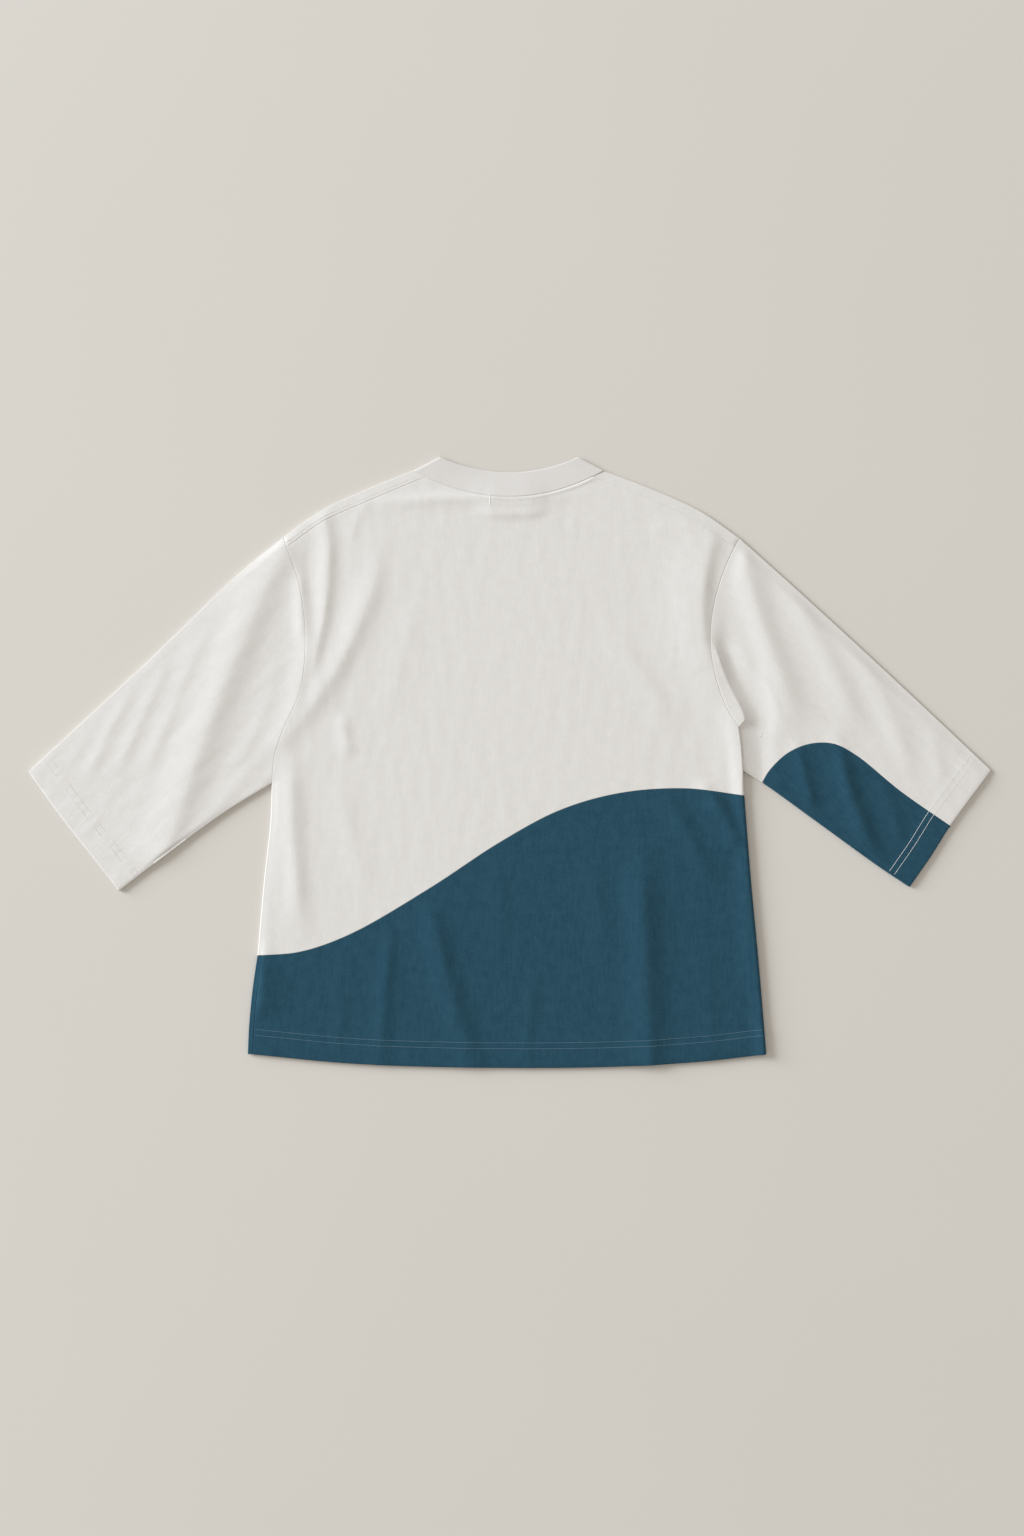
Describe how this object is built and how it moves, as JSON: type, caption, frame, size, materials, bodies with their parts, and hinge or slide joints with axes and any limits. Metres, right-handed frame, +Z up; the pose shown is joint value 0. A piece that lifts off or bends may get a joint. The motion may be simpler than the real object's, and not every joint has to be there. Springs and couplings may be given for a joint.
{
  "type": "oversized t-shirt",
  "caption": "Boxy T-shirt with wide three-quarter sleeves and a rib collar, laid flat back up, white over a blue curved lower panel.",
  "frame": {"origin": "middle of the shirt's outline on the surface that it lies on", "axes": "+X across the shirt towards the sleeve with the blue inset, +Y from hem to collar, +Z up from the surface"},
  "size_m": [1.155, 0.7329, 0.0068],
  "materials": {
    "white_jersey": "matt heavy cotton jersey, off-white",
    "blue_jersey": "matt heavy cotton jersey, slate blue",
    "white_rib": "fine cotton rib, doubled, off-white"
  },
  "bodies": {
    "root": {"back_upper": "white_jersey", "front_upper": "white_jersey", "sleeve_left": "white_jersey", "sleeve_right": "white_jersey", "back_lower": "blue_jersey", "front_lower": "blue_jersey", "sleeve_right_wave_back": "blue_jersey", "sleeve_right_wave_front": "blue_jersey", "collar": "white_rib"}
  },
  "joints": []
}
